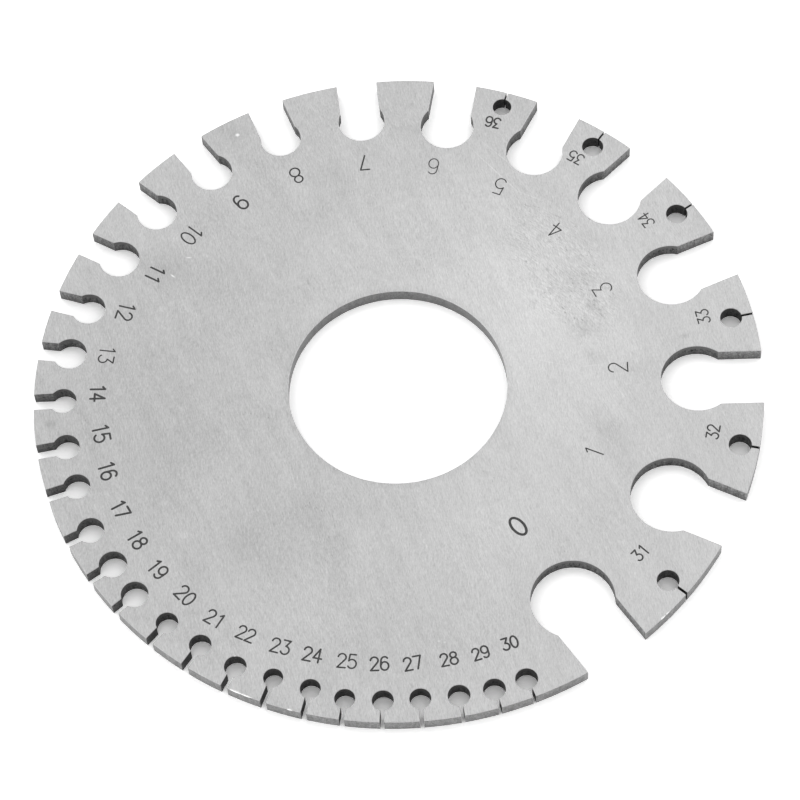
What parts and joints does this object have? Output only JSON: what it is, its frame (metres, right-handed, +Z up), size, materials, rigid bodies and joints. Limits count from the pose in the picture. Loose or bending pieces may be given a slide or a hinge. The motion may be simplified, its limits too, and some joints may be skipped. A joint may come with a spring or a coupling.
{
  "type": "wire gauge plate",
  "caption": "Flat round gauge plate with keyhole slots of stepped widths round its rim and a plain centre hole, for sizing wire and sheet metal by hand.",
  "frame": {"origin": "on the centre hole's axis, in the plane of the lower face that the plate lies on", "axes": "+Z up through the plate, out of the numbered face; the slots are numbered anticlockwise seen from +Z, with the gauge 0 slot 59.2 degrees clockwise of +X"},
  "size_m": [0.084, 0.084, 0.0019],
  "materials": {
    "brushed_steel": "finely ground stainless sheet with dark etched numbers"
  },
  "bodies": {
    "root": {"gauge_plate": "brushed_steel"}
  },
  "joints": []
}
